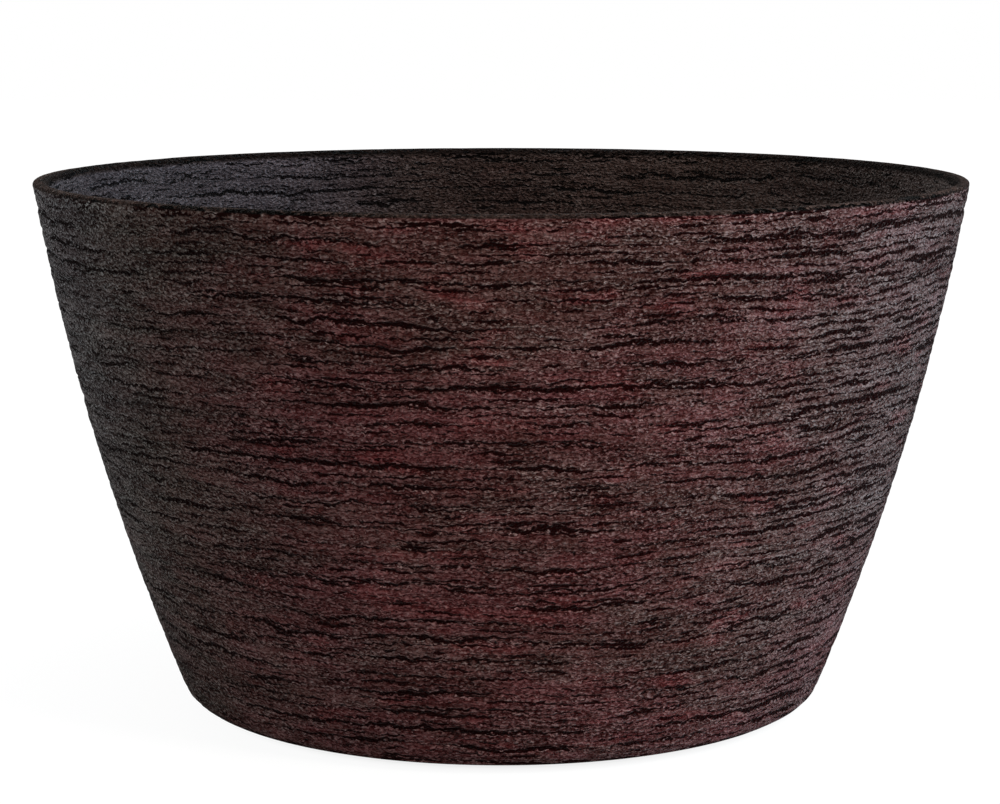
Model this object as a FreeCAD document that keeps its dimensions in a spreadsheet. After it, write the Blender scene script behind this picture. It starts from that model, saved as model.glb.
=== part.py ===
"""Bowl planter: a tapered, bark-faced resin bowl that stands on four rubber feet.

Inside, a slotted drainage platform on push-in legs keeps the soil clear of the floor, and the four
floor drains are closed by rubber plugs that pull up and out. Millimetres, +Z up, origin on the ground
under the middle of the bowl. The drains lie on the X and Y axes, the feet and legs half a pitch away.
"""

import FreeCAD
import Part
import Sketcher

import math
import os

# Driving sizes, in millimetres, and counts of pieces that repeat round the axis.
SIZES = {
    # Bowl shell
    "rim_diameter": 406.0,
    "bowl_height": 228.5,
    "base_diameter": 278.3,
    "wall_bulge": 6.5,
    "wall_thickness": 6.0,
    "floor_thickness": 6.0,
    "base_round": 12.0,
    "floor_round": 8.0,
    "rim_outer_round": 1.5,
    "rim_inner_round": 2.5,
    "recess_depth": 4.0,
    # Drains through the floor, each with a seat for the head of its plug
    "drain_count": 4,
    "drain_circle_diameter": 130.0,
    "drain_bore": 16.0,
    "drain_seat_ledge": 5.5,
    "drain_seat_depth": 2.5,
    # Drain plugs
    "plug_clearance": 0.1,
    "plug_head_clearance": 0.4,
    "plug_tail": 2.0,
    "plug_lead": 1.0,
    "plug_grip_height": 9.0,
    "plug_grip_width": 15.0,
    "plug_grip_thickness": 4.5,
    "plug_edge_round": 0.8,
    # Feet
    "foot_count": 4,
    "foot_diameter": 20.0,
    "foot_clearance": 0.1,
    "foot_seat_depth": 2.5,
    "foot_stand": 2.5,
    "foot_edge_round": 0.8,
    "foot_ring_margin": 3.0,
    # Drainage platform
    "platform_gap": 1.5,
    "platform_thickness": 3.5,
    "platform_bead_height": 2.0,
    "platform_bead_width": 5.0,
    "platform_edge_round": 1.0,
    "slot_width": 3.5,
    "slot_hub_radius": 18.0,
    "slot_ring_gap": 8.0,
    "slot_bead_margin": 6.0,
    "inner_slot_length": 26.0,
    "middle_slot_length": 24.0,
    "outer_slot_length": 24.0,
    "inner_slot_count": 12,
    "middle_slot_count": 20,
    "outer_slot_count": 36,
    # Push-in legs of the platform
    "leg_count": 4,
    "leg_inset": 24.0,
    "leg_height": 32.0,
    "leg_width": 20.0,
    "leg_web": 3.0,
    "leg_flange_diameter": 24.0,
    "leg_flange_thickness": 2.5,
    "leg_stub_diameter": 10.0,
    "leg_stub_clearance": 0.05,
}

# Sizes that follow from the driving ones. The wall is one arc; its centre lies far across the axis.
WORKED = {
    "rim_radius": "Sizes.rim_diameter / 2",
    "base_radius": "Sizes.base_diameter / 2",
    "rim_height": "Sizes.foot_stand + Sizes.bowl_height",
    "wall_chord": "sqrt((rim_radius - base_radius) ^ 2 + Sizes.bowl_height ^ 2)",
    "arc_radius": "wall_chord ^ 2 / (8 * Sizes.wall_bulge) + Sizes.wall_bulge / 2",
    "arc_offset": "arc_radius - Sizes.wall_bulge",
    "arc_centre_x": "(rim_radius + base_radius) / 2 - arc_offset * Sizes.bowl_height / wall_chord",
    "arc_centre_z": "Sizes.foot_stand + Sizes.bowl_height / 2"
                    " + arc_offset * (rim_radius - base_radius) / wall_chord",
    "inner_arc_radius": "arc_radius - Sizes.wall_thickness",
    "panel_height": "Sizes.foot_stand + Sizes.recess_depth",
    "floor_height": "panel_height + Sizes.floor_thickness",
    "seat_height": "floor_height - Sizes.drain_seat_depth",
    "base_flat_radius": "arc_centre_x + sqrt((arc_radius - Sizes.base_round) ^ 2"
                        " - (Sizes.foot_stand + Sizes.base_round - arc_centre_z) ^ 2)",
    "foot_circle_radius": "base_flat_radius - Sizes.foot_ring_margin - Sizes.foot_diameter / 2",
    "recess_radius": "foot_circle_radius - Sizes.foot_diameter / 2 - Sizes.foot_ring_margin",
    "drain_circle_radius": "Sizes.drain_circle_diameter / 2",
    "drain_seat_radius": "Sizes.drain_bore / 2 + Sizes.drain_seat_ledge",
    "floor_flat_radius": "arc_centre_x + sqrt((inner_arc_radius - Sizes.floor_round) ^ 2"
                         " - (floor_height + Sizes.floor_round - arc_centre_z) ^ 2)",
    "leg_circle_radius": "floor_flat_radius - Sizes.leg_inset - Sizes.leg_flange_diameter / 2",
    "platform_height": "floor_height + Sizes.leg_height",
    "platform_radius": "arc_centre_x + sqrt(inner_arc_radius ^ 2"
                       " - (platform_height - arc_centre_z) ^ 2) - Sizes.platform_gap",
    "bead_radius": "platform_radius - Sizes.platform_bead_width",
    "middle_slot_start": "Sizes.slot_hub_radius + Sizes.inner_slot_length + Sizes.slot_ring_gap",
    "outer_slot_start": "bead_radius - Sizes.slot_bead_margin - Sizes.outer_slot_length",
}

doc = FreeCAD.newDocument("bowl_planter")


def make_sheet(name, cells):
    """A spreadsheet with a label in column A and the aliased value in column B, one row per size."""
    sheet = doc.addObject("Spreadsheet::Sheet", name)
    for row, (alias, value) in enumerate(cells.items(), start=1):
        sheet.set(f"A{row}", alias)
        sheet.set(f"B{row}", f"={value}" if isinstance(value, str) else str(value))
        sheet.setAlias(f"B{row}", alias)
    doc.recompute()
    return sheet


sizes = make_sheet("Sizes", SIZES)
worked = make_sheet("Worked", WORKED)


def size(alias):
    """The present value of a driving or worked size, for first guesses and loops."""
    return float((sizes if alias in SIZES else worked).get(alias))


def value_of(expression):
    """The number that an expression of the sheets gives now."""
    return float(sizes.evalExpression(expression))


def count(alias):
    """How many of a piece there are."""
    return int(size(alias))


# Helpers for bodies and sketches

def make_body(label):
    body = doc.addObject("PartDesign::Body", label)
    body.Label = label
    return body


def make_sketch(body, name, plane, lift=None):
    """An empty sketch on one of the body's origin planes, lifted along its normal by an expression."""
    sketch = body.newObject("Sketcher::SketchObject", f"{body.Label}_{name}")
    support = next(item for item in body.Origin.OriginFeatures if item.Role == plane)
    sketch.AttachmentSupport = [(support, "")]
    sketch.MapMode = "FlatFace"
    if lift:
        sketch.setExpression("AttachmentOffset.Base.z", lift)
    return sketch


def bind(sketch, expression, *constraint):
    """Adds a dimension to the sketch and ties it to an expression in the sheets."""
    index = sketch.addConstraint(Sketcher.Constraint(*constraint))
    sketch.setExpression(f"Constraints[{index}]", expression)


def point(x, y):
    return FreeCAD.Vector(x, y, 0)


# How a sketch numbers the points of an edge, and its own two axes
START, END, CENTRE = range(1, 4)
HORIZONTAL_AXIS, VERTICAL_AXIS = range(-1, -3, -1)
AXIS_POINT = (HORIZONTAL_AXIS, START)


def draw_section(sketch, corners, arc=None):
    """A closed half section for turning about the sketch's vertical axis.

    corners lists (x expression or None on the axis, y expression) in order round the section, and
    straight lines join them. arc = (edge number, radius expression, centre x, centre y) makes that
    one edge an arc, with its two ends still on the corners.
    """
    places = [
        (0.0 if x is None else value_of(x), value_of(y))
        for x, y in corners
    ]
    total = len(corners)
    for edge in range(total):
        start = point(*places[edge])
        end = point(*places[(edge + 1) % total])
        if arc and edge == arc[0]:
            centre = point(value_of(arc[2]), value_of(arc[3]))
            circle = Part.Circle(centre, FreeCAD.Vector(0, 0, 1), value_of(arc[1]))
            angles = [math.atan2(p.y - centre.y, p.x - centre.x) for p in (start, end)]
            sketch.addGeometry(Part.ArcOfCircle(circle, *angles))
        else:
            sketch.addGeometry(Part.LineSegment(start, end))
    for edge in range(total):
        sketch.addConstraint(Sketcher.Constraint("Coincident", edge, END, (edge + 1) % total, START))
    for corner, (x, y) in enumerate(corners):
        if x is None:
            sketch.addConstraint(Sketcher.Constraint("PointOnObject", corner, START, VERTICAL_AXIS))
        else:
            bind(sketch, x, "DistanceX", *AXIS_POINT, corner, START, places[corner][0])
        bind(sketch, y, "DistanceY", *AXIS_POINT, corner, START, places[corner][1])
    if arc:
        bind(sketch, arc[1], "Radius", arc[0], value_of(arc[1]))
    doc.recompute()


def draw_circle(sketch, x, y, radius):
    """A circle whose centre and radius are expressions."""
    circle = Part.Circle(point(value_of(x), value_of(y)), FreeCAD.Vector(0, 0, 1), value_of(radius))
    index = sketch.addGeometry(circle)
    bind(sketch, x, "DistanceX", *AXIS_POINT, index, CENTRE, circle.Center.x)
    bind(sketch, y, "DistanceY", *AXIS_POINT, index, CENTRE, circle.Center.y)
    bind(sketch, radius, "Radius", index, value_of(radius))
    doc.recompute()


def draw_slot(sketch, start, length, width):
    """A round-ended slot along the X axis from start onwards, all its sizes expressions."""
    half = value_of(width) / 2
    near = value_of(start) + half
    far = value_of(start) + value_of(length) - half
    near_end = Part.Circle(point(near, 0), FreeCAD.Vector(0, 0, 1), half)
    far_end = Part.Circle(point(far, 0), FreeCAD.Vector(0, 0, 1), half)
    sketch.addGeometry(Part.LineSegment(point(near, -half), point(far, -half)))
    sketch.addGeometry(Part.ArcOfCircle(far_end, -math.pi / 2, math.pi / 2))
    sketch.addGeometry(Part.LineSegment(point(far, half), point(near, half)))
    sketch.addGeometry(Part.ArcOfCircle(near_end, math.pi / 2, 3 * math.pi / 2))
    for first, second in ((0, 1), (1, 2), (2, 3), (3, 0)):
        sketch.addConstraint(Sketcher.Constraint("Tangent", first, END, second, START))
    for end, centre in ((3, f"{start} + {width} / 2"), (1, f"{start} + {length} - {width} / 2")):
        sketch.addConstraint(Sketcher.Constraint("PointOnObject", end, CENTRE, HORIZONTAL_AXIS))
        bind(sketch, centre, "DistanceX", *AXIS_POINT, end, CENTRE, value_of(centre))
    bind(sketch, f"{width} / 2", "Radius", 1, half)
    doc.recompute()


def revolve(body, name, sketch, kind="PartDesign::Revolution"):
    """A full turn of the sketch about its vertical axis: a Revolution, or a Groove that cuts."""
    feature = body.newObject(kind, f"{body.Label}_{name}")
    feature.Profile = sketch
    feature.ReferenceAxis = (sketch, ["V_Axis"])
    feature.Angle = 360
    doc.recompute()
    return feature


def cut_along_z(body, name, sketch, depth, upward=True):
    """A Pocket through the sketch, up or down by depth, that has to remove material."""
    before = body.Shape.Volume
    pocket = body.newObject("PartDesign::Pocket", f"{body.Label}_{name}")
    pocket.Profile = sketch
    pocket.Reversed = upward
    pocket.setExpression("Length", depth)
    doc.recompute()
    if body.Shape.Volume >= before:
        raise RuntimeError(f"{name} cuts nothing")
    return pocket


def repeat_round(body, name, feature, number):
    """Copies of the feature, evenly spaced round the Z axis."""
    pattern = body.newObject("PartDesign::PolarPattern", f"{body.Label}_{name}")
    pattern.Originals = [feature]
    pattern.Axis = (next(item for item in body.Origin.OriginFeatures if item.Role == "Z_Axis"), [""])
    pattern.Angle = 360
    pattern.setExpression("Occurrences", number)
    body.Tip = pattern
    doc.recompute()


def round_edges(body, name, base, edges, radius):
    """A Fillet on the listed edges of the base feature."""
    fillet = body.newObject("PartDesign::Fillet", f"{body.Label}_{name}")
    fillet.Base = (base, edges)
    fillet.setExpression("Radius", radius)
    doc.recompute()
    return fillet


NEAR = 1e-3


def rings_at(feature, radius, height):
    """Names of the feature's round edges of that radius at that height, centred on the axis."""
    return [
        f"Edge{number}"
        for number, edge in enumerate(feature.Shape.Edges, start=1)
        if isinstance(edge.Curve, Part.Circle)
        and abs(edge.Curve.Radius - radius) < NEAR
        and abs(edge.Curve.Center.z - height) < NEAR
        and math.hypot(edge.Curve.Center.x, edge.Curve.Center.y) < NEAR
    ]


def place_round(piece, radius, turn):
    """Sets a piece out from the axis by radius and turns it with the place, both as expressions."""
    piece.setExpression("Placement.Base.x", f"{radius} * cos({turn})")
    piece.setExpression("Placement.Base.y", f"{radius} * sin({turn})")
    piece.setExpression("Placement.Rotation.Angle", turn)
    doc.recompute()


def half_pitch_turn(number, index):
    """Expression for the angle of one of the pieces that lie half a pitch away from the X axis."""
    return f"({index} + 0.5) * 360 deg / {number}"


# Bowl shell: one moulding with the wall, rim, floor, base ring, foot seats and drains

def make_bowl_shell():
    body = make_body("bowl_shell")
    outside = make_sketch(body, "outside", "XZ_Plane")
    draw_section(
        outside,
        [
            (None, "Worked.panel_height"),
            ("Worked.recess_radius", "Worked.panel_height"),
            ("Worked.recess_radius", "Sizes.foot_stand"),
            ("Worked.base_radius", "Sizes.foot_stand"),
            ("Worked.rim_radius", "Worked.rim_height"),
            (None, "Worked.rim_height"),
        ],
        arc=(3, "Worked.arc_radius", "Worked.arc_centre_x", "Worked.arc_centre_z"),
    )
    turned = revolve(body, "turned", outside)
    base_edge = rings_at(turned, size("base_radius"), size("foot_stand"))
    turned = round_edges(body, "base_corner", turned, base_edge, "Sizes.base_round")

    def inner_radius(height):
        return (f"Worked.arc_centre_x + sqrt(Worked.inner_arc_radius ^ 2"
                f" - ({height} - Worked.arc_centre_z) ^ 2)")

    def within_wall(rounding):
        most_of_wall = 0.45
        return f"min({rounding}; {most_of_wall} * Sizes.wall_thickness)"

    floor_edge = inner_radius("Worked.floor_height")
    mouth_edge = inner_radius("Worked.rim_height")
    inside = make_sketch(body, "inside", "XZ_Plane")
    draw_section(
        inside,
        [
            (None, "Worked.floor_height"),
            (floor_edge, "Worked.floor_height"),
            (mouth_edge, "Worked.rim_height"),
            (None, "Worked.rim_height"),
        ],
        arc=(1, "Worked.inner_arc_radius", "Worked.arc_centre_x", "Worked.arc_centre_z"),
    )
    hollow = revolve(body, "hollow", inside, "PartDesign::Groove")
    for name, radius, height, rounding in (
        ("floor_corner", floor_edge, "Worked.floor_height", "Sizes.floor_round"),
        ("rim_inside", mouth_edge, "Worked.rim_height", within_wall("Sizes.rim_inner_round")),
        ("rim_outside", "Worked.rim_radius", "Worked.rim_height", within_wall("Sizes.rim_outer_round")),
    ):
        edges = rings_at(hollow, value_of(radius), value_of(height))
        hollow = round_edges(body, name, hollow, edges, rounding)

    seat = make_sketch(body, "foot_seat", "XY_Plane")
    turn = half_pitch_turn("Sizes.foot_count", 0)
    draw_circle(
        seat,
        f"Worked.foot_circle_radius * cos({turn})",
        f"Worked.foot_circle_radius * sin({turn})",
        "Sizes.foot_diameter / 2 + Sizes.foot_clearance",
    )
    seat_cut = cut_along_z(body, "foot_seat_cut", seat, "Sizes.foot_stand + Sizes.foot_seat_depth")
    repeat_round(body, "foot_seats", seat_cut, "Sizes.foot_count")

    bore = make_sketch(body, "drain_bore", "XY_Plane")
    draw_circle(bore, "Worked.drain_circle_radius", "0", "Sizes.drain_bore / 2")
    bore_cut = cut_along_z(body, "drain_bore_cut", bore, "Worked.floor_height")
    repeat_round(body, "drain_bores", bore_cut, "Sizes.drain_count")

    plug_seat = make_sketch(body, "plug_seat", "XY_Plane", lift="Worked.floor_height")
    draw_circle(plug_seat, "Worked.drain_circle_radius", "0", "Worked.drain_seat_radius")
    plug_seat_cut = cut_along_z(body, "plug_seat_cut", plug_seat, "Sizes.drain_seat_depth", upward=False)
    repeat_round(body, "plug_seats", plug_seat_cut, "Sizes.drain_count")
    return body


# Rubber feet: plain buttons glued into the seats of the base ring

def make_foot(index):
    body = make_body(f"foot_pad_{index + 1}")
    section = make_sketch(body, "section", "XZ_Plane")
    draw_section(
        section,
        [
            (None, "0"),
            ("Sizes.foot_diameter / 2", "0"),
            ("Sizes.foot_diameter / 2", "Sizes.foot_stand + Sizes.foot_seat_depth"),
            (None, "Sizes.foot_stand + Sizes.foot_seat_depth"),
        ],
    )
    turned = revolve(body, "turned", section)
    sole_edge = rings_at(turned, size("foot_diameter") / 2, 0)
    round_edges(body, "sole_edge", turned, sole_edge, "Sizes.foot_edge_round")
    place_round(body, "Worked.foot_circle_radius", half_pitch_turn("Sizes.foot_count", index))
    return body


# Drain plugs: a flush head in the seat, a shank through the bore and a grip fin to pull on

def make_plug(index):
    body = make_body(f"drain_plug_{index + 1}")
    shank = "Sizes.drain_bore / 2 - Sizes.plug_clearance"
    head = "Worked.drain_seat_radius - Sizes.plug_head_clearance"
    tail = "Worked.panel_height - Sizes.plug_tail"
    section = make_sketch(body, "section", "XZ_Plane")
    draw_section(
        section,
        [
            (None, tail),
            (f"{shank} - Sizes.plug_lead", tail),
            (shank, f"{tail} + Sizes.plug_lead"),
            (shank, "Worked.seat_height"),
            (head, "Worked.seat_height"),
            (head, "Worked.floor_height"),
            (None, "Worked.floor_height"),
        ],
    )
    turned = revolve(body, "turned", section)
    head_edge = rings_at(turned, value_of(head), size("floor_height"))
    round_edges(body, "head_edge", turned, head_edge, "Sizes.plug_edge_round")
    make_grip(body)
    place_round(body, "Worked.drain_circle_radius", f"{index} * 360 deg / Sizes.drain_count")
    return body


def make_grip(body):
    """The upright fin on the plug's head, with round ends and a rounded top edge."""
    outline = make_sketch(body, "grip", "XY_Plane", lift="Worked.floor_height")
    draw_slot(outline, "-Sizes.plug_grip_width / 2", "Sizes.plug_grip_width", "Sizes.plug_grip_thickness")
    fin = body.newObject("PartDesign::Pad", f"{body.Label}_grip_fin")
    fin.Profile = outline
    fin.setExpression("Length", "Sizes.plug_grip_height")
    doc.recompute()
    top = size("floor_height") + size("plug_grip_height")
    top_edges = [
        f"Edge{number}"
        for number, edge in enumerate(fin.Shape.Edges, start=1)
        if all(abs(vertex.Z - top) < NEAR for vertex in edge.Vertexes)
    ]
    round_edges(body, "grip_edge", fin, top_edges, "Sizes.plug_edge_round")


# Drainage platform: a slotted disc with a raised bead round its edge and a hole for each leg's stub

def make_platform():
    body = make_body("drain_platform")
    top = "Worked.platform_height + Sizes.platform_thickness"
    bead_top = f"{top} + Sizes.platform_bead_height"
    section = make_sketch(body, "section", "XZ_Plane")
    draw_section(
        section,
        [
            (None, "Worked.platform_height"),
            ("Worked.platform_radius", "Worked.platform_height"),
            ("Worked.platform_radius", bead_top),
            ("Worked.bead_radius", bead_top),
            ("Worked.bead_radius", top),
            (None, top),
        ],
    )
    turned = revolve(body, "turned", section)
    bead_edges = [
        name
        for radius in ("platform_radius", "bead_radius")
        for name in rings_at(turned, size(radius), value_of(bead_top))
    ]
    round_edges(body, "bead_edge", turned, bead_edges, "Sizes.platform_edge_round")
    for name, start, length, number in (
        ("inner_slot", "Sizes.slot_hub_radius", "Sizes.inner_slot_length", "Sizes.inner_slot_count"),
        ("middle_slot", "Worked.middle_slot_start", "Sizes.middle_slot_length", "Sizes.middle_slot_count"),
        ("outer_slot", "Worked.outer_slot_start", "Sizes.outer_slot_length", "Sizes.outer_slot_count"),
    ):
        slot = make_sketch(body, name, "XY_Plane", lift="Worked.platform_height")
        draw_slot(slot, start, length, "Sizes.slot_width")
        slot_cut = cut_along_z(body, f"{name}_cut", slot, "Sizes.platform_thickness")
        repeat_round(body, f"{name}s", slot_cut, number)

    stub_hole = make_sketch(body, "stub_hole", "XY_Plane", lift="Worked.platform_height")
    turn = half_pitch_turn("Sizes.leg_count", 0)
    draw_circle(
        stub_hole,
        f"Worked.leg_circle_radius * cos({turn})",
        f"Worked.leg_circle_radius * sin({turn})",
        "Sizes.leg_stub_diameter / 2 + Sizes.leg_stub_clearance",
    )
    stub_hole_cut = cut_along_z(body, "stub_hole_cut", stub_hole, "Sizes.platform_thickness")
    repeat_round(body, "stub_holes", stub_hole_cut, "Sizes.leg_count")
    return body


# Platform legs: a cross-section post with a round flange and a stub that pushes into the platform

def make_leg(index):
    label = f"platform_leg_{index + 1}"

    def cylinder(name, diameter, bottom, height):
        solid = doc.addObject("Part::Cylinder", f"{label}_{name}")
        solid.setExpression("Radius", f"{diameter} / 2")
        solid.setExpression("Height", height)
        solid.setExpression("Placement.Base.z", bottom)
        return solid

    def web(name, along_x):
        solid = doc.addObject("Part::Box", f"{label}_{name}")
        long_side, short_side = ("Length", "Width") if along_x else ("Width", "Length")
        long_axis, short_axis = ("x", "y") if along_x else ("y", "x")
        solid.setExpression(long_side, "Sizes.leg_width")
        solid.setExpression(short_side, "Sizes.leg_web")
        solid.setExpression("Height", "Sizes.leg_height - Sizes.leg_flange_thickness")
        solid.setExpression(f"Placement.Base.{long_axis}", "-Sizes.leg_width / 2")
        solid.setExpression(f"Placement.Base.{short_axis}", "-Sizes.leg_web / 2")
        solid.setExpression("Placement.Base.z", "Worked.floor_height")
        return solid

    flange_height = "Worked.platform_height - Sizes.leg_flange_thickness"
    leg = doc.addObject("Part::MultiFuse", label)
    leg.Label = label
    leg.Shapes = [
        web("radial_web", True),
        web("cross_web", False),
        cylinder("flange", "Sizes.leg_flange_diameter", flange_height, "Sizes.leg_flange_thickness"),
        cylinder("stub", "Sizes.leg_stub_diameter", "Worked.platform_height", "Sizes.platform_thickness"),
    ]
    leg.Refine = True
    doc.recompute()
    place_round(leg, "Worked.leg_circle_radius", half_pitch_turn("Sizes.leg_count", index))
    return leg


def check_and_export(pieces):
    """Stops on any failed object or bad solid, then writes one STEP file per piece."""
    doc.recompute()
    failed = [item.Name for item in doc.Objects if {"Invalid", "Error"} & set(item.State)]
    if failed:
        raise RuntimeError(f"objects that failed: {failed}")
    for piece in pieces:
        shape = piece.Shape
        if shape.isNull() or not shape.isValid() or len(shape.Solids) != 1:
            raise RuntimeError(f"{piece.Label} is not one valid solid")
    os.makedirs("parts", exist_ok=True)
    for piece in pieces:
        piece.Shape.exportStep(f"parts/{piece.Label}.step")
        print(f"{piece.Label}: {piece.Shape.Volume / 1000:.2f} cm3")


pieces = [make_bowl_shell(), make_platform()]
pieces += [make_leg(index) for index in range(count("leg_count"))]
pieces += [make_plug(index) for index in range(count("drain_count"))]
pieces += [make_foot(index) for index in range(count("foot_count"))]
check_and_export(pieces)
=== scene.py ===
import math

import bmesh
import bpy
import numpy as np
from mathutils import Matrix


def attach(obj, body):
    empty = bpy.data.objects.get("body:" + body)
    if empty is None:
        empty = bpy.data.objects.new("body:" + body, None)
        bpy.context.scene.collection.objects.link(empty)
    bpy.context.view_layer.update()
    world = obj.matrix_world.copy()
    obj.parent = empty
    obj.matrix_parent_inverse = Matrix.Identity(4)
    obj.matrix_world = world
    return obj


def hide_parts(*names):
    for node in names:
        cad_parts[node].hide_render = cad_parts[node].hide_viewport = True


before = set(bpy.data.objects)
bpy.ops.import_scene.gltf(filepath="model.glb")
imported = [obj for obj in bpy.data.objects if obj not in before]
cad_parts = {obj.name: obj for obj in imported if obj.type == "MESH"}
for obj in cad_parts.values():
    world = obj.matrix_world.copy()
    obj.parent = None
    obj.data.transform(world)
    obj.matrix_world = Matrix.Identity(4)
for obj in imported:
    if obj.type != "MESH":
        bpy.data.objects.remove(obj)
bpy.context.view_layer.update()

# Bowl shell
# The real bowl is one thick resin moulding, cast against a mould taken from tree bark. The bark runs
# over the outside and a hand's breadth down the inside; floor and underside are left plain.

MM = 0.001

# Profile, in millimetres: the wall is one arc that bows out from a cone
RIM_RADIUS = 203.0
BASE_RADIUS = 139.15
FOOT_STAND = 2.5
WALL_HEIGHT = 228.5
WALL_BULGE = 6.5
WALL = 6.0
FLOOR_THICKNESS = 6.0
PANEL_HEIGHT = 6.5
BASE_ROUND = 12.0
FLOOR_ROUND = 8.0
RIM_OUTER_ROUND = 1.5
RIM_INNER_ROUND = 2.5
DRAIN_CIRCLE = 65.0
DRAIN_BORE = 8.0
DRAIN_SEAT = 13.5
DRAIN_SEAT_DEPTH = 2.5
FOOT_SEAT = 10.1
FOOT_SEAT_TOP = 5.0
FOOT_RING_MARGIN = 3.0
FOOT_RADIUS = 10.0

RIM_HEIGHT = FOOT_STAND + WALL_HEIGHT
FLOOR_HEIGHT = PANEL_HEIGHT + FLOOR_THICKNESS
chord = math.hypot(RIM_RADIUS - BASE_RADIUS, WALL_HEIGHT)
ARC_RADIUS = chord ** 2 / (8 * WALL_BULGE) + WALL_BULGE / 2
ARC_X = (RIM_RADIUS + BASE_RADIUS) / 2 - (ARC_RADIUS - WALL_BULGE) * WALL_HEIGHT / chord
ARC_Z = FOOT_STAND + WALL_HEIGHT / 2 + (ARC_RADIUS - WALL_BULGE) * (RIM_RADIUS - BASE_RADIUS) / chord
INNER_ARC_RADIUS = ARC_RADIUS - WALL

# Columns round the bowl, a multiple of eight so that the drain and foot sectors start on a column
COLUMNS = 304


def arc_run(centre, radius, start, stop, rows, facing=1):
    """Points on a circle of the section from angle start to stop, and their normals.

    A point is centre + radius * (cos, sin) of the angle; its normal is (cos, sin) times facing, which
    is -1 where the circle is seen from its hollow side. The last point is left to the next run.
    """
    angle = np.linspace(start, stop, rows, endpoint=False)
    way = np.stack([np.cos(angle), np.sin(angle)], axis=1)
    return np.hstack([np.asarray(centre) + radius * way, facing * way])


def touching(offset, height):
    """Angle and x on the circle of that offset from the wall arc's centre, at the given height."""
    angle = math.asin((height - ARC_Z) / offset)
    return angle, ARC_X + offset * math.cos(angle)


# Where the wall's arc meets the four rounds: angle on the arc, and the x of each round's centre
base_angle, BASE_FLAT = touching(ARC_RADIUS - BASE_ROUND, FOOT_STAND + BASE_ROUND)
rim_out_angle, rim_out_x = touching(ARC_RADIUS - RIM_OUTER_ROUND, RIM_HEIGHT - RIM_OUTER_ROUND)
rim_in_angle, rim_in_x = touching(INNER_ARC_RADIUS + RIM_INNER_ROUND, RIM_HEIGHT - RIM_INNER_ROUND)
floor_angle, FLOOR_FLAT = touching(INNER_ARC_RADIUS - FLOOR_ROUND, FLOOR_HEIGHT + FLOOR_ROUND)

# The bark's reach: it fades out down the inside and at the base's edge, and is smoother at the rim
BARK_DEPTH_INSIDE = 90.0
BARK_FADE_INSIDE = 45.0
BARK_FADE_BASE = (FOOT_STAND + 0.2, FOOT_STAND + 4.0)
BARK_FADE_RIM = (RIM_HEIGHT - 7.0, RIM_HEIGHT - 1.0)
RIM_SMOOTHING = 0.75
bark_end_angle = touching(INNER_ARC_RADIUS, RIM_HEIGHT - BARK_DEPTH_INSIDE)[0]
QUARTER = math.pi / 2
arc_centre = (ARC_X, ARC_Z)
base_centre = (BASE_FLAT, FOOT_STAND + BASE_ROUND)
rim_out_centre = (rim_out_x, RIM_HEIGHT - RIM_OUTER_ROUND)
rim_in_centre = (rim_in_x, RIM_HEIGHT - RIM_INNER_ROUND)
floor_centre = (FLOOR_FLAT, FLOOR_HEIGHT + FLOOR_ROUND)

# The section runs from the base's edge up the outside, over the rim and down the inside to the floor
section = np.vstack([
    arc_run(base_centre, BASE_ROUND, -QUARTER, base_angle, rows=9),
    arc_run(arc_centre, ARC_RADIUS, base_angle, rim_out_angle, rows=212),
    arc_run(rim_out_centre, RIM_OUTER_ROUND, rim_out_angle, QUARTER, rows=4),
    arc_run(rim_in_centre, RIM_INNER_ROUND, QUARTER, math.pi + rim_in_angle, rows=5),
    arc_run(arc_centre, INNER_ARC_RADIUS, rim_in_angle, bark_end_angle, rows=46, facing=-1),
    arc_run(arc_centre, INNER_ARC_RADIUS, bark_end_angle, floor_angle, rows=9, facing=-1),
    arc_run(floor_centre, FLOOR_ROUND, floor_angle, -QUARTER, rows=5, facing=-1),
    [[FLOOR_FLAT, FLOOR_HEIGHT, 0.0, 1.0]],
])


class Wire:
    """A number that a material works out at each point; sums and products of wires make Math nodes."""

    def __init__(self, tree, socket):
        self.tree = tree
        self.socket = socket

    def node(self, kind, inputs, output=0, **settings):
        """Adds a node of that kind, wires or sets the given inputs, and gives one output."""
        made = self.tree.nodes.new(kind)
        for name, value in settings.items():
            setattr(made, name, value)
        for place, value in inputs.items():
            if isinstance(value, Wire):
                self.tree.links.new(value.socket, made.inputs[place])
            else:
                made.inputs[place].default_value = value
        return Wire(self.tree, made.outputs[output])

    def maths(self, operation, *values):
        return self.node("ShaderNodeMath", dict(enumerate(values)), operation=operation)

    def __add__(self, other):
        return self.maths("ADD", self, other)

    def __mul__(self, other):
        return self.maths("MULTIPLY", self, other)

    def __sub__(self, other):
        return self.maths("SUBTRACT", self, other)

    def __rsub__(self, other):
        return self.maths("SUBTRACT", other, self)

    def __truediv__(self, other):
        return self.maths("DIVIDE", self, other)

    __radd__ = __add__
    __rmul__ = __mul__


# The bark's formulas below take either arrays of points or wires, so that the mesh and the material
# share one pattern. These are their building blocks.

def whole(value):
    """The whole number below the value."""
    return value.maths("FLOOR", value) if isinstance(value, Wire) else np.floor(value)


def apart(value):
    """The value without its sign."""
    return value.maths("ABSOLUTE", value) if isinstance(value, Wire) else np.abs(value)


def greater(first, second):
    """The larger of the two, point by point."""
    if isinstance(first, Wire):
        return first.maths("MAXIMUM", first, second)
    return np.maximum(first, second)


def rise(value, low, high):
    """0 below low, 1 above high, and the smooth cubic 3t^2 - 2t^3 between them."""
    if isinstance(value, Wire):
        inputs = {"Value": value, "From Min": low, "From Max": high}
        return value.node("ShaderNodeMapRange", inputs, interpolation_type="SMOOTHSTEP")
    share = np.clip((value - low) / (high - low), 0.0, 1.0)
    return share * share * (3.0 - 2.0 * share)


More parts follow.
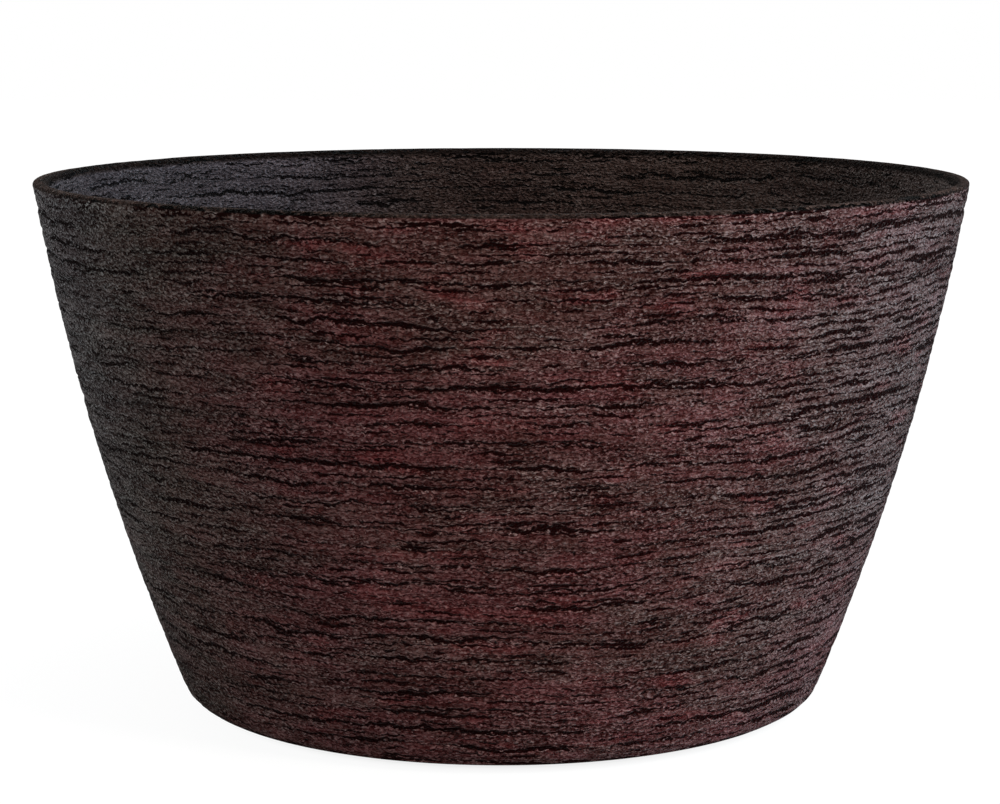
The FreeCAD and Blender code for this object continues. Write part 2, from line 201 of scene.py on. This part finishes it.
def lattice_hash(x, y, z):
    """One scrambled 32-bit number per lattice point: seven rounds of exclusive-or and turned bits."""
    seed = np.uint32(0xDEADBEEF + 25)
    a, b, c = (seed + part.astype(np.int64).astype(np.uint32) for part in (x, y, z))
    for turn in (14, 11, 25, 16, 4, 14, 24):
        turned = (b << np.uint32(turn)) | (b >> np.uint32(32 - turn))
        a, b, c = b, (c ^ b) - turned, a
    return b


def gradient_noise(x, y, z):
    """Perlin's noise: gradients at the lattice points, blended by 6t^5 - 15t^4 + 10t^3."""
    corner = [np.floor(part) for part in (x, y, z)]
    inside = [part - low for part, low in zip((x, y, z), corner)]
    blend = [t ** 3 * (t * (t * 6.0 - 15.0) + 10.0) for t in inside]
    total = np.zeros_like(inside[0])
    for step in np.ndindex(2, 2, 2):
        key = lattice_hash(*(low + move for low, move in zip(corner, step))) & np.uint32(15)
        dx, dy, dz = (t - move for t, move in zip(inside, step))
        first = np.where(key < 8, dx, dy)
        second = np.where(key < 4, dy, np.where((key == 12) | (key == 14), dx, dz))
        slope = np.where(key & 1, -first, first) + np.where(key & 2, -second, second)
        weight = np.prod([t if move else 1.0 - t for t, move in zip(blend, step)], axis=0)
        total += weight * slope
    return 0.982 * total


def clouds(x, y, z, octaves=1, roughness=0.5):
    """Soft noise between 0 and 1 about 0.5: octaves of gradient noise, each finer and fainter."""
    if isinstance(z, Wire):
        place = z.node("ShaderNodeCombineXYZ", {0: x, 1: y, 2: z})
        inputs = {"Vector": place, "Scale": 1.0, "Detail": octaves - 1.0, "Roughness": roughness}
        return z.node("ShaderNodeTexNoise", inputs)
    total, weight, reach = 0.0, 1.0, 0.0
    for octave in range(octaves):
        finer = 2.0 ** octave
        total = total + weight * gradient_noise(x * finer, y * finer, z * finer)
        reach += weight
        weight *= roughness
    return 0.5 * total / reach + 0.5


def strewn(x, y, height, along, across, octaves, roughness=0.5, start=0.0):
    """Noise about zero, of one size along the layers and another across them, begun at some height."""
    return clouds(x / along, y / along, height / across + start, octaves, roughness) - 0.5


# Patterns of the relief, in millimetres along and across the bark's layers
SWAY = {"along": 110.0, "across": 55.0, "octaves": 2}
KINKS = {"along": 22.0, "across": 9.0, "octaves": 2}
SWELLS = {"along": 34.0, "across": 6.0, "octaves": 3, "roughness": 0.55}

# Families of level cracks, in millimetres: row spacing, half width, length of a crack, kink of its line
MAIN_CRACKS = {"spacing": 8.0, "half": 0.58, "length": 42.0, "kink": 12.0, "seed": 3.1}
SIDE_CRACKS = {"spacing": 3.5, "half": 0.36, "length": 16.0, "kink": 8.0, "seed": 17.7}


def bark_level(x, y, z):
    """Height of a point in the bark's layers: its own height plus a slow sway and short kinks."""
    return z + 10.0 * strewn(x, y, z, **SWAY) + 3.4 * strewn(x, y, z, **KINKS)


def crack_gap(x, y, level, spacing, half, length, kink, seed):
    """Millimetres from a point to the edge of the nearest crack, below zero inside it.

    The layers are cut into rows. Each row holds one line, kinked by noise, that is as wide as a second
    noise lets it be, so it breaks into separate cracks with tapered ends. The row's number, stretched,
    is the noise's height, so no two rows are alike.
    """
    place = level / spacing
    row = whole(place)
    across = (place - row - 0.5) * spacing
    line = (clouds(x / kink, y / kink, row * 3.37 + seed, 4, 0.6) - 0.5) * (0.85 * spacing)
    opened = rise(clouds(x / length, y / length, row * 5.71 + seed, 3, 0.55), 0.40, 0.64)
    return apart(across - line) - (1.9 * opened - 0.9) * half


def bark_height(x, y, z):
    """Relief of the bark in millimetres: low swells, with the two families of cracks cut in."""
    level = bark_level(x, y, z)
    swell = 0.85 * strewn(x, y, level, **SWELLS)
    main = rise(crack_gap(x, y, level, **MAIN_CRACKS), -0.7, 1.4)
    side = rise(crack_gap(x, y, level, **SIDE_CRACKS), -0.5, 1.1)
    return swell + 0.7 * (main - 1.0) + 0.35 * (side - 1.0)


def bark_share(profile):
    """How much of the relief each row of the section takes: all on the wall, a quarter at the rim."""
    height = profile[:, 1]
    outside = profile[:, 2] > 0
    wall = rise(height, *BARK_FADE_BASE)
    inside = rise(height, RIM_HEIGHT - BARK_DEPTH_INSIDE, RIM_HEIGHT - BARK_FADE_INSIDE)
    lip = rise(height, *BARK_FADE_RIM)
    return np.where(outside, wall, inside) * (1.0 - RIM_SMOOTHING * lip)


def grid_faces(rows, columns, first, closed):
    """Four corners of each face of a grid of points, stored row by row from the index first."""
    across = columns if closed else columns - 1
    row, column = np.meshgrid(np.arange(rows - 1), np.arange(across), indexing="ij")
    after = (column + 1) % columns
    here, above = row * columns, (row + 1) * columns
    corners = [here + column, here + after, above + after, above + column]
    return first + np.stack(corners, axis=-1).reshape(-1, 4)


def turned_wall():
    """The section turned about the axis, each point moved along its normal by the bark's height."""
    angle = np.arange(COLUMNS) * 2 * math.pi / COLUMNS
    cos, sin = np.cos(angle), np.sin(angle)
    radius, height, out, up = (column[:, None] for column in section.T)
    x, y, z = radius * cos, radius * sin, height + 0.0 * angle
    share = bark_share(section)[:, None] + 0.0 * angle
    relief = share * bark_height(x, y, z)
    points = np.stack([x + relief * out * cos, y + relief * out * sin, z + relief * up], axis=-1)
    return points, share


def sector_edge(middle, columns, inner, outer, steps):
    """A closed loop of points round a sector some columns wide: arc out, side in, arc back, side out.

    Points of the arcs lie on the wall's columns. With an inner radius of zero the sector ends in the
    axis, and the inner arc is that one point.
    """
    turn = middle + np.linspace(-1, 1, columns + 1) * columns * math.pi / COLUMNS
    arc = np.stack([np.cos(turn), np.sin(turn)], axis=1)
    side = np.linspace(outer, inner, steps + 1)[1:-1, None]
    back = inner * arc[::-1] if inner > 0 else np.zeros((1, 2))
    return np.vstack([outer * arc, side * arc[-1], back, side[::-1] * arc[0]])


def holed_plate(edge, level, centre, radius, rows):
    """A flat plate from its edge loop in to a round hole: straight lines from edge to hole."""
    way = edge - centre
    rim = centre + radius * way / np.linalg.norm(way, axis=1, keepdims=True)
    share = np.linspace(0.0, 1.0, rows)[:, None, None]
    flat = edge + share * (rim - edge)
    return np.concatenate([flat, np.full(flat.shape[:2] + (1,), level)], axis=2)


def lowered(ring, centre, radius, level):
    """A copy of a ring of points round the centre, at another radius and level."""
    way = ring[:, :2] - centre
    moved = centre + radius * way / np.linalg.norm(way, axis=1, keepdims=True)
    return np.column_stack([moved, np.full(len(moved), level)])[None]


FOOT_CIRCLE = BASE_FLAT - FOOT_RING_MARGIN - FOOT_RADIUS
RECESS = FOOT_CIRCLE - FOOT_RADIUS - FOOT_RING_MARGIN
QUARTER_COLUMNS = COLUMNS // 4
FLOOR_STEPS = 12
FLOOR_ROWS = 6
FOOT_COLUMNS = 16
RING_STEPS = 4


def drain_sector(middle):
    """A quarter of the floor: its top face in to the plug's seat, the seat, the bore and the underside."""
    centre = DRAIN_CIRCLE * np.array([math.cos(middle), math.sin(middle)])
    top_edge = sector_edge(middle, QUARTER_COLUMNS, 0.0, FLOOR_FLAT, FLOOR_STEPS)
    under_edge = sector_edge(middle, QUARTER_COLUMNS, 0.0, RECESS, FLOOR_STEPS)
    top = holed_plate(top_edge, FLOOR_HEIGHT, centre, DRAIN_SEAT, FLOOR_ROWS)
    under = holed_plate(under_edge, PANEL_HEIGHT, centre, DRAIN_BORE, FLOOR_ROWS)
    seat_level = FLOOR_HEIGHT - DRAIN_SEAT_DEPTH
    seat = lowered(top[-1], centre, DRAIN_SEAT, seat_level)
    ledge = lowered(top[-1], centre, DRAIN_BORE, seat_level)
    return np.concatenate([top, seat, ledge, under[::-1]])


def foot_sector(middle):
    """The base ring at a foot, in to the foot's seat and up to the seat's flat end."""
    centre = FOOT_CIRCLE * np.array([math.cos(middle), math.sin(middle)])
    edge = sector_edge(middle, FOOT_COLUMNS, RECESS, BASE_FLAT, RING_STEPS)
    ring = holed_plate(edge, FOOT_STAND, centre, FOOT_SEAT, RING_STEPS)
    wall = lowered(ring[-1], centre, FOOT_SEAT, FOOT_SEAT_TOP)
    cap = lowered(ring[-1], centre, 0.0, FOOT_SEAT_TOP)
    return np.concatenate([ring, wall, cap])


def ring_strip(middle):
    """The base ring between two feet: a flat strip of straight lines across the ring."""
    columns = QUARTER_COLUMNS - FOOT_COLUMNS
    turn = middle + np.linspace(-1, 1, columns + 1) * columns * math.pi / COLUMNS
    radius = np.linspace(BASE_FLAT, RECESS, RING_STEPS + 1)[:, None]
    level = FOOT_STAND + 0.0 * radius * turn
    return np.stack([radius * np.cos(turn), radius * np.sin(turn), level], axis=-1)


def recess_step():
    """The upright step between the base ring and the raised panel under the floor."""
    angle = np.arange(COLUMNS) * 2 * math.pi / COLUMNS
    ring = np.stack([RECESS * np.cos(angle), RECESS * np.sin(angle)], axis=1)
    levels = (FOOT_STAND, PANEL_HEIGHT)
    return np.stack([np.column_stack([ring, np.full(COLUMNS, level)]) for level in levels])


def put(name, data):
    """A new object of that data in the scene, at the origin."""
    made = bpy.data.objects.new(name, data)
    bpy.context.scene.collection.objects.link(made)
    return made


def build_mesh(name, loops, strips, **marks):
    """One closed mesh from grids of points in millimetres, with their common edges merged.

    The rows of a loop run all the way round, those of a strip don't. Each mark gives a number per
    point of the first grid, zero on the others, kept under its name.
    """
    grids = [*loops, *strips]
    points = np.concatenate([grid.reshape(-1, 3) for grid in grids]) * MM
    starts = np.cumsum([0] + [grid.shape[0] * grid.shape[1] for grid in grids[:-1]])
    faces = np.concatenate([
        grid_faces(*grid.shape[:2], start, closed=place < len(loops))
        for place, (grid, start) in enumerate(zip(grids, starts))
    ])
    mesh = bpy.data.meshes.new(name)
    mesh.from_pydata(points.tolist(), [], faces.tolist())
    for key, numbers in marks.items():
        values = np.zeros(len(points), np.float32)
        values[:numbers.size] = numbers.ravel()
        mesh.attributes.new(key, "FLOAT", "POINT").data.foreach_set("value", values)
    solid = bmesh.new()
    solid.from_mesh(mesh)
    bmesh.ops.remove_doubles(solid, verts=solid.verts, dist=1e-6)
    bmesh.ops.dissolve_degenerate(solid, edges=solid.edges, dist=1e-7)
    bmesh.ops.recalc_face_normals(solid, faces=solid.faces)
    solid.to_mesh(mesh)
    solid.free()
    mesh.polygons.foreach_set("use_smooth", np.ones(len(mesh.polygons), bool))
    return put(name, mesh)


wall_points, wall_share = turned_wall()
quarters = np.arange(4) * QUARTER
floor_grids = [drain_sector(turn) for turn in quarters]
ring_grids = [foot_sector(turn + QUARTER / 2) for turn in quarters]
bowl_loops = [wall_points, *floor_grids, *ring_grids, recess_step()]
bowl_strips = [ring_strip(turn) for turn in quarters]

# Marks on the rows of the section: rows that face the axis, and rows of the round inside the rim, which
# carry a dark line of painted shadow and wear
inward = section[:, 2] < -0.5
inner_round = (section[:, 2] < -0.05) & (section[:, 1] > RIM_HEIGHT - RIM_INNER_ROUND - 0.3)
inner_mark, rim_shadow_mark = (np.where(rows[:, None], 1.0, 0.0 * wall_share) for rows in (inward, inner_round))
bowl = build_mesh("bark_bowl", bowl_loops, bowl_strips, bark=wall_share, inner=inner_mark, edge=rim_shadow_mark)


def sharpen_plain_edges(piece, limit):
    """Marks edges over the limit angle as sharp, except on the bark, where shading runs smooth."""
    mesh = piece.data
    mesh.set_sharp_from_angle(angle=limit)
    sharp = np.zeros(len(mesh.edges), bool)
    mesh.attributes["sharp_edge"].data.foreach_get("value", sharp)
    ends = np.zeros(len(mesh.edges) * 2, np.int32)
    mesh.edges.foreach_get("vertices", ends)
    share = np.zeros(len(mesh.vertices), np.float32)
    mesh.attributes["bark"].data.foreach_get("value", share)
    plain = share[ends].reshape(-1, 2).max(axis=1) < 0.01
    mesh.attributes["sharp_edge"].data.foreach_set("value", sharp & plain)


sharpen_plain_edges(bowl, math.radians(35))


def paint(red, green, blue):
    """A colour given in the usual 0 to 255 steps, as the linear colour that shaders take."""
    steps = np.array([red, green, blue]) / 255.0
    linear = np.where(steps <= 0.04045, steps / 12.92, ((steps + 0.055) / 1.055) ** 2.4)
    return (*linear, 1.0)


def new_material(name):
    """A material with a plain Principled shader; gives it, its tree and the shader."""
    material = bpy.data.materials.new(name)
    material.use_nodes = True
    tree = material.node_tree
    shader = tree.nodes["Principled BSDF"]
    return material, tree, shader


def object_place(tree):
    """Wires for x, y and z of the surface point, in millimetres of the part's own frame."""
    place = tree.nodes.new("ShaderNodeTexCoord")
    split = tree.nodes.new("ShaderNodeSeparateXYZ")
    tree.links.new(place.outputs["Object"], split.inputs[0])
    return [Wire(tree, split.outputs[axis]) * (1 / MM) for axis in "XYZ"]


def attribute(tree, name):
    """A wire for a number kept with the points of the mesh."""
    made = tree.nodes.new("ShaderNodeAttribute")
    made.attribute_name = name
    return Wire(tree, made.outputs["Fac"])


def ramp(wire, stops):
    """A colour that runs through the given (place, colour) stops as the wire goes from 0 to 1."""
    made = wire.tree.nodes.new("ShaderNodeValToRGB")
    while len(made.color_ramp.elements) < len(stops):
        made.color_ramp.elements.new(1.0)
    for element, (place, colour) in zip(made.color_ramp.elements, stops):
        element.position = place
        element.color = colour
    wire.tree.links.new(wire.socket, made.inputs[0])
    return Wire(wire.tree, made.outputs["Color"])


def mixed(share, first, second):
    """The first colour, turned into the second as the share goes from 0 to 1."""
    return share.node("ShaderNodeMix", {0: share, 6: first, 7: second}, output=2, data_type="RGBA")


def feed(shader, name, wire):
    """Links a wire to the shader's socket of that name."""
    wire.tree.links.new(wire.socket, shader.inputs[name])


def bumped(shader, height, depth):
    """Tilts the shader's normal by a height, of which 1 stands for the given depth in metres."""
    inputs = {"Height": height, "Distance": depth, "Strength": 1.0}
    feed(shader, "Normal", height.node("ShaderNodeBump", inputs))


# Patterns that only the material draws, in millimetres along and across the bark's layers
GRAIN = {"along": 1.7, "across": 0.95, "octaves": 2}
LUMPS = {"along": 3.6, "across": 2.3, "octaves": 3, "roughness": 0.6}
STREAKS = {"along": 12.0, "across": 1.2, "octaves": 2, "roughness": 0.6}
ZONES = {"along": 38.0, "across": 8.0, "octaves": 3, "roughness": 0.6, "start": 11.0}
PATCHES = {"along": 55.0, "across": 13.0, "octaves": 3, "roughness": 0.6}
FLECKS = {"along": 20.0, "across": 9.0, "octaves": 2, "start": 7.0}
SPOTS = {"along": 30.0, "across": 8.0, "octaves": 3, "start": 51.0}
DRIFT = {"along": 150.0, "across": 60.0, "octaves": 4, "roughness": 0.55, "start": 32.9}
RIPPLE_HEIGHT = 2.0

# Where the finish and its painted light change, in millimetres: along x from the left side to the right
# one, and up the wall
LEFT_CRACKS = (-120.0, -40.0)
RIGHT_CRACKS = (40.0, 150.0)
LEFT_SHEEN_END = (-160.0, -60.0)
EMBER_START = (-150.0, -60.0)
LEFT_SHEEN_GREY_END = (-200.0, -125.0)
RIGHT_SHEEN_GREY_START = (80.0, 190.0)
RIGHT_SHEEN_LESS_RED = (30.0, 130.0)
BLUE_SHEEN_END = (-125.0, -30.0)
INSIDE_PAINTED_LIGHT = (20.0, 140.0)
RED_FOOT = (20.0, 100.0)
LIP = (RIM_HEIGHT - 1.9, RIM_HEIGHT - 1.2)


def from_axis(x, y):
    """A wire for the distance from the axis."""
    return x.maths("SQRT", x * x + y * y)


def bark_detail(x, y, z, inner):
    """The bark finer than the mesh: tone from 0 in cracks to 1 on crumb tops, relief in millimetres.

    Crumbs are grain on lumps, stacked in ripples that turn under at one edge. Cracks are those of the
    mesh with a wriggle from the lumps and pale edges; they gape on the right and close up on the left.
    The tone holds painted light beside the finish: cracks, hollows and turned-under edges darker as
    painted shade, crumb tops and crack edges lighter as painted highlight, the right side lighter and
    the left side and the right limb darker.
    """
    level = bark_level(x, y, z)
    grain = strewn(x, y, z, **GRAIN)
    lump = strewn(x, y, z, **LUMPS)
    streak = strewn(x, y, level, **STREAKS)
    patch = strewn(x, y, level, **PATCHES)
    zone = rise(strewn(x, y, level, **ZONES), -0.10, 0.12)

    ripple = (level + 7.5 * lump) / RIPPLE_HEIGHT
    ledge = ripple - whole(ripple)
    painted_tuck_shade = rise(ledge + grain, 0.45, 0.95)
    wriggle = level + 2.8 * lump
    on_left = 1.0 - rise(x, *LEFT_CRACKS)
    on_right = rise(x, *RIGHT_CRACKS)
    # Cracks, painted dark, gape on the right and close up on the left: this paints the harsher light and
    # shade of the right side.
    gape = (0.22 - 0.36 * inner) * on_right - 0.12 * on_left
    main = crack_gap(x, y, wriggle, **MAIN_CRACKS) + 1.2 * grain - gape
    side = crack_gap(x, y, wriggle, **SIDE_CRACKS) + grain - gape
    crack = greater(1.0 - rise(main, -0.08, 0.40), 0.9 - 0.9 * rise(side, -0.08, 0.36))
    shade = 1.0 - rise(main, 0.0, 2.8)
    # Pale band along the crack edges: partly wear, partly painted highlight.
    worn_edge_and_highlight = rise(main, 0.30, 0.60) - rise(main, 0.70, 1.60)

    rough = 0.62 + 0.38 * greater(zone, shade)
    # Crumb tops lighter and hollows darker, partly the finish and partly painted highlight and painted
    # shade; darker under each turned-under edge is painted shade.
    uneven = rough * (1.45 * grain - 0.5 * painted_tuck_shade + 0.3 * lump)
    # Painted light on the outside: the right side lighter, the left side a little darker, and the right
    # limb darker as painted shade.
    painted_limb_shade = rise(x / from_axis(x, y), 0.90, 1.0)
    painted_side_light = (0.09 * on_right - 0.02 * on_left - 0.15 * painted_limb_shade) * (1.0 - inner)
    # Cracks painted near black and a darker band by the main cracks: partly the finish, partly painted
    # shade.
    tone = 0.64 + painted_side_light + uneven + 0.3 * streak + 0.4 * patch + 0.10 * worn_edge_and_highlight - 0.05 * shade - 0.8 * crack
    relief = rough * (4.5 * grain - 1.1 * ledge + 2.0 * lump) + 0.8 * streak - crack
    return {"level": level, "grain": grain, "patch": patch, "zone": zone, "shade": shade,
            "tone": tone, "relief": relief}


# Finishes of the bark, in 0 to 255 steps at five tones from a crack's depth to a crumb's top; painted
# sheen and shade are among them
TONES = (0.05, 0.28, 0.50, 0.72, 0.95)
BROWN = ((22, 4, 4), (43, 17, 15), (60, 33, 29), (83, 55, 51), (116, 95, 91))
RED = ((25, 4, 4), (49, 16, 16), (70, 31, 31), (95, 53, 53), (127, 93, 91))
EMBER = ((28, 4, 4), (56, 16, 16), (82, 31, 31), (106, 52, 51), (138, 93, 90))
OLIVE = ((17, 6, 4), (33, 22, 18), (46, 40, 34), (65, 60, 53), (96, 90, 84))
SHEEN_GREY = ((13, 6, 6), (30, 22, 23), (54, 49, 51), (82, 79, 83), (117, 115, 120))
DRAB = ((9, 7, 6), (31, 23, 20), (41, 30, 26), (51, 40, 36), (68, 57, 53))
PAINTED_BLUE_SHEEN = ((13, 11, 12), (37, 34, 36), (52, 47, 50), (68, 63, 67), (92, 87, 92))
RIM_PAINTED_SHADE = ((4, 3, 2), (17, 12, 10), (32, 23, 20), (50, 38, 34), (76, 61, 56))


def toned(tone, finish):
    """The colour that a finish has at each tone."""
    return ramp(tone, [(place, paint(*colour)) for place, colour in zip(TONES, finish)])


def bark_colour(x, y, z, bark):
    """Outside of the bowl: brown drifting to red, olive and ember spots, with painted light and sheen at
    the sides.
    """
    tone, level, patch = bark["tone"], bark["level"], bark["patch"]
    drift = strewn(x, y, level, **DRIFT) + 0.4 * strewn(x, y, level, **FLECKS)
    # Less red towards the right is painted sheen of the cool light; the bark is also redder near the foot.
    redness = rise(drift - 0.16 * rise(z, *RED_FOOT) - 0.09 * rise(x, *RIGHT_SHEEN_LESS_RED), -0.27, 0.03)
    colour = mixed(redness, toned(tone, BROWN), toned(tone, RED))
    place = x + 60.0 * patch
    # Olive mixes in near the main cracks and in rough zones, and strongly on the left side, where it is
    # painted light: weaker warm light and a neutral sheen.
    painted_left_sheen = 1.0 - rise(place, *LEFT_SHEEN_END)
    colour = mixed(0.1 * bark["shade"] + 0.15 * bark["zone"] + 0.6 * painted_left_sheen, colour, toned(tone, OLIVE))
    spot = rise(strewn(x, y, level, **SPOTS), 0.04, 0.24) * rise(x, *EMBER_START)
    colour = mixed(0.7 * spot, colour, toned(tone, EMBER))
    # Grey at both limbs is painted sheen: the grazing reflection of the pale surround.
    painted_flank_sheen = greater(0.7 - 0.7 * rise(place, *LEFT_SHEEN_GREY_END), 0.28 * rise(place, *RIGHT_SHEEN_GREY_START))
    return mixed(painted_flank_sheen, colour, toned(tone, SHEEN_GREY))


def bark_resin():
    """Satin cast bark outside, drabber inside, with a rim painted dark as shade and a plain floor and
    underside.
    """
    material, tree, shader = new_material("bark_resin")
    x, y, z = object_place(tree)
    share, inner, edge = (attribute(tree, name) for name in ("bark", "inner", "edge"))
    lip = greater(edge, rise(z, *LIP))
    bark = bark_detail(x, y, z, inner)
    tone = bark["tone"]

    # Inside, paler towards the right is painted light, and bluish grey on the left is painted sheen of the
    # cool lamp.
    drab = toned(tone - 0.07 + 0.13 * rise(x, *INSIDE_PAINTED_LIGHT), DRAB)
    inside = mixed(rise(x, *BLUE_SHEEN_END), toned(tone, PAINTED_BLUE_SHEEN), drab)
    colour = mixed(0.92 * inner, bark_colour(x, y, z, bark), inside)
    mottle = clouds(x / 30.0, y / 30.0, z / 30.0, 4)
    plain = ramp(mottle, [(0.3, paint(34, 25, 24)), (0.7, paint(46, 34, 32))])
    colour = mixed(rise(share, 0.0, 0.35), plain, colour)
    # The rim's top is painted dark: painted shade against the lamps above.
    colour = mixed(lip, colour, toned(tone, RIM_PAINTED_SHADE))
    # A near-black line round the inside of the rim: painted shadow, partly wear.
    feed(shader, "Base Color", mixed(0.72 * edge, colour, paint(3, 2, 2)))

    shine = 0.22 * rise(tone, 0.30, 0.85) * (1.0 - lip) * (1.0 - 0.5 * inner)
    feed(shader, "Specular IOR Level", 0.003 + shine)
    feed(shader, "Roughness", 0.86 - 0.16 * rise(tone, 0.35, 0.8))
    shader.inputs["Sheen Weight"].default_value = 0.025
    shader.inputs["Sheen Roughness"].default_value = 0.3
    bumped(shader, bark["relief"] * greater(share, lip) + 0.04 * bark["grain"], MM)
    return material


bowl.data.materials.append(bark_resin())
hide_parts("bowl_shell")
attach(bowl, "bowl")

# Drainage platform and its legs
# The platform is a dark polypropylene moulding with radial slots; four cross-section legs push into
# it from below and stand on the floor. Both keep the fine spark-eroded grain of the mould.


def moulded_plastic():
    """Dark moulded plastic: fine even grain over faint clouds where the melt has flowed."""
    material, tree, shader = new_material("dark_plastic")
    x, y, z = object_place(tree)
    flow = clouds(x / 40.0, y / 40.0, z / 40.0, 3)
    grain = clouds(x / 0.8, y / 0.8, z / 0.8, 2)
    colour = ramp(flow, [(0.3, paint(30, 30, 31)), (0.7, paint(42, 42, 43))])
    feed(shader, "Base Color", colour)
    feed(shader, "Roughness", 0.68 + 0.14 * flow)
    shader.inputs["Specular IOR Level"].default_value = 0.2
    bumped(shader, grain, 0.08 * MM)
    return material


def dress(nodes, material):
    """Gives CAD nodes a finish in every material slot."""
    for name in nodes:
        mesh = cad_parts[name].data
        mesh.materials.clear()
        mesh.materials.append(material)


NUMBERS = range(1, 5)
dress(["drain_platform"] + [f"platform_leg_{number}" for number in NUMBERS], moulded_plastic())

# Drain plugs and foot pads
# Plugs and feet are black moulded rubber. The plugs are pushed into the drains from above and pulled
# out by their fins; the feet are glued into seats in the base ring.


def moulded_rubber(name, dark, pale):
    """Matt rubber: soft mottling between two near-blacks and a slightly pitted skin."""
    material, tree, shader = new_material(name)
    x, y, z = object_place(tree)
    bloom = clouds(x / 7.0, y / 7.0, z / 7.0, 4)
    pits = clouds(x / 0.6, y / 0.6, z / 0.6, 2)
    colour = ramp(bloom, [(0.3, dark), (0.75, pale)])
    feed(shader, "Base Color", colour)
    feed(shader, "Roughness", 0.65 + 0.2 * bloom)
    bumped(shader, pits, 0.06 * MM)
    return material


plug_rubber = moulded_rubber("plug_rubber", paint(20, 20, 20), paint(34, 33, 32))
foot_rubber = moulded_rubber("foot_rubber", paint(24, 23, 22), paint(42, 40, 38))
dress([f"drain_plug_{number}" for number in NUMBERS], plug_rubber)
dress([f"foot_pad_{number}" for number in NUMBERS], foot_rubber)

# Studio
# A pale floor that runs out of sight under an even pale surround. The key lamp stands high in front on
# the right, with cool ones at both sides and plain ones above and behind; the camera looks slightly down.

IMAGE_WIDTH = 1000
FOCAL_PIXELS = 2778.2
AXIS_PIXEL_X = 501.14
CAMERA_BACK = 1.219
CAMERA_HEIGHT = 0.31473 + FOOT_STAND * MM
CAMERA_PITCH = math.radians(8.7054)
SENSOR = 36.0

camera_data = bpy.data.cameras.new("camera")
camera_data.sensor_width = SENSOR
camera_data.lens = SENSOR * FOCAL_PIXELS / IMAGE_WIDTH
camera_data.shift_x = (IMAGE_WIDTH / 2 - AXIS_PIXEL_X) / IMAGE_WIDTH
camera = put("camera", camera_data)
camera.location = (0.0, -CAMERA_BACK, CAMERA_HEIGHT)
camera.rotation_euler = (QUARTER - CAMERA_PITCH, 0.0, 0.0)
bpy.context.scene.camera = camera


def seen_directly(tree, *kinds):
    """1 for rays of those kinds, which look at the background itself, else 0."""
    path = tree.nodes.new("ShaderNodeLightPath")
    seen = Wire(tree, path.outputs["Is Camera Ray"])
    for kind in kinds:
        seen = greater(seen, Wire(tree, path.outputs[f"Is {kind} Ray"]))
    return seen


# Distances from the axis, in millimetres: where the floor starts to be white, and where it is all white
UNDER_BOWL = (95.0, 135.0)
FULL_WHITE = (400.0, 1500.0)


def pale_floor():
    """White board: mostly its own white where it is looked at, the rest lit, so the shadow shows.

    Its own white is fuller far away and ends under the bowl, where the board is dark.
    """
    material, tree, shader = new_material("pale_floor")
    shader.inputs["Base Color"].default_value = (0.70, 0.70, 0.70, 1.0)
    shader.inputs["Roughness"].default_value = 0.9
    glow = tree.nodes.new("ShaderNodeEmission")
    x, y, z = object_place(tree)
    distance = from_axis(x, y)
    share = (0.90 + 0.10 * rise(distance, *FULL_WHITE)) * rise(distance, *UNDER_BOWL)
    share = seen_directly(tree, "Transmission") * share
    glow.inputs["Strength"].default_value = 1.05
    mix = tree.nodes.new("ShaderNodeMixShader")
    tree.links.new(share.socket, mix.inputs[0])
    tree.links.new(shader.outputs[0], mix.inputs[1])
    tree.links.new(glow.outputs[0], mix.inputs[2])
    tree.links.new(mix.outputs[0], tree.nodes["Material Output"].inputs["Surface"])
    return material


FLOOR_HALF = 6.0
floor_mesh = bpy.data.meshes.new("floor")
floor_corners = [(-FLOOR_HALF, -FLOOR_HALF, 0.0), (FLOOR_HALF, -FLOOR_HALF, 0.0),
                 (FLOOR_HALF, FLOOR_HALF, 0.0), (-FLOOR_HALF, FLOOR_HALF, 0.0)]
floor_mesh.from_pydata(floor_corners, [], [(0, 1, 2, 3)])
floor_mesh.materials.append(pale_floor())
floor = put("floor", floor_mesh)


def pale_world(level):
    """Even pale light of the given level, and plain white where the background itself is seen."""
    world = bpy.data.worlds.new("studio")
    world.use_nodes = True
    tree = world.node_tree
    background = tree.nodes["Background"]
    background.inputs["Color"].default_value = (1.0, 1.0, 1.0, 1.0)
    strength = level + (1.0 - level) * seen_directly(tree, "Glossy", "Transmission")
    tree.links.new(strength.socket, background.inputs["Strength"])
    bpy.context.scene.world = world


pale_world(0.14)


MIDDLE = (0.0, 0.0, 0.5 * RIM_HEIGHT * MM)


def soft_lamp(name, place, size, power, colour):
    """A square soft box at place, turned to the middle of the bowl."""
    data = bpy.data.lights.new(name, "AREA")
    data.shape = "SQUARE"
    data.size = size
    data.energy = power
    data.color = colour
    lamp = put(name, data)
    lamp.location = place
    way = np.array(MIDDLE) - np.array(place)
    tilt = math.atan2(math.hypot(way[0], way[1]), -way[2])
    turn = math.atan2(way[1], way[0]) - QUARTER
    lamp.rotation_euler = (tilt, 0.0, turn)


soft_lamp("key", place=(1.35, -1.35, 1.65), size=0.6, power=56.0, colour=(1.0, 0.95, 0.90))
soft_lamp("right", place=(1.68, -0.25, 0.62), size=0.8, power=22.5, colour=(0.42, 0.75, 1.0))
soft_lamp("back", place=(-0.90, 1.70, 1.10), size=1.0, power=14.0, colour=(1.0, 1.0, 1.0))
soft_lamp("left", place=(-1.50, -0.50, 0.70), size=1.0, power=8.0, colour=(0.72, 0.95, 1.0))
soft_lamp("top", place=(0.0, 0.0, 2.2), size=1.4, power=34.0, colour=(1.0, 1.0, 1.0))

bpy.context.scene.view_settings.view_transform = "Standard"
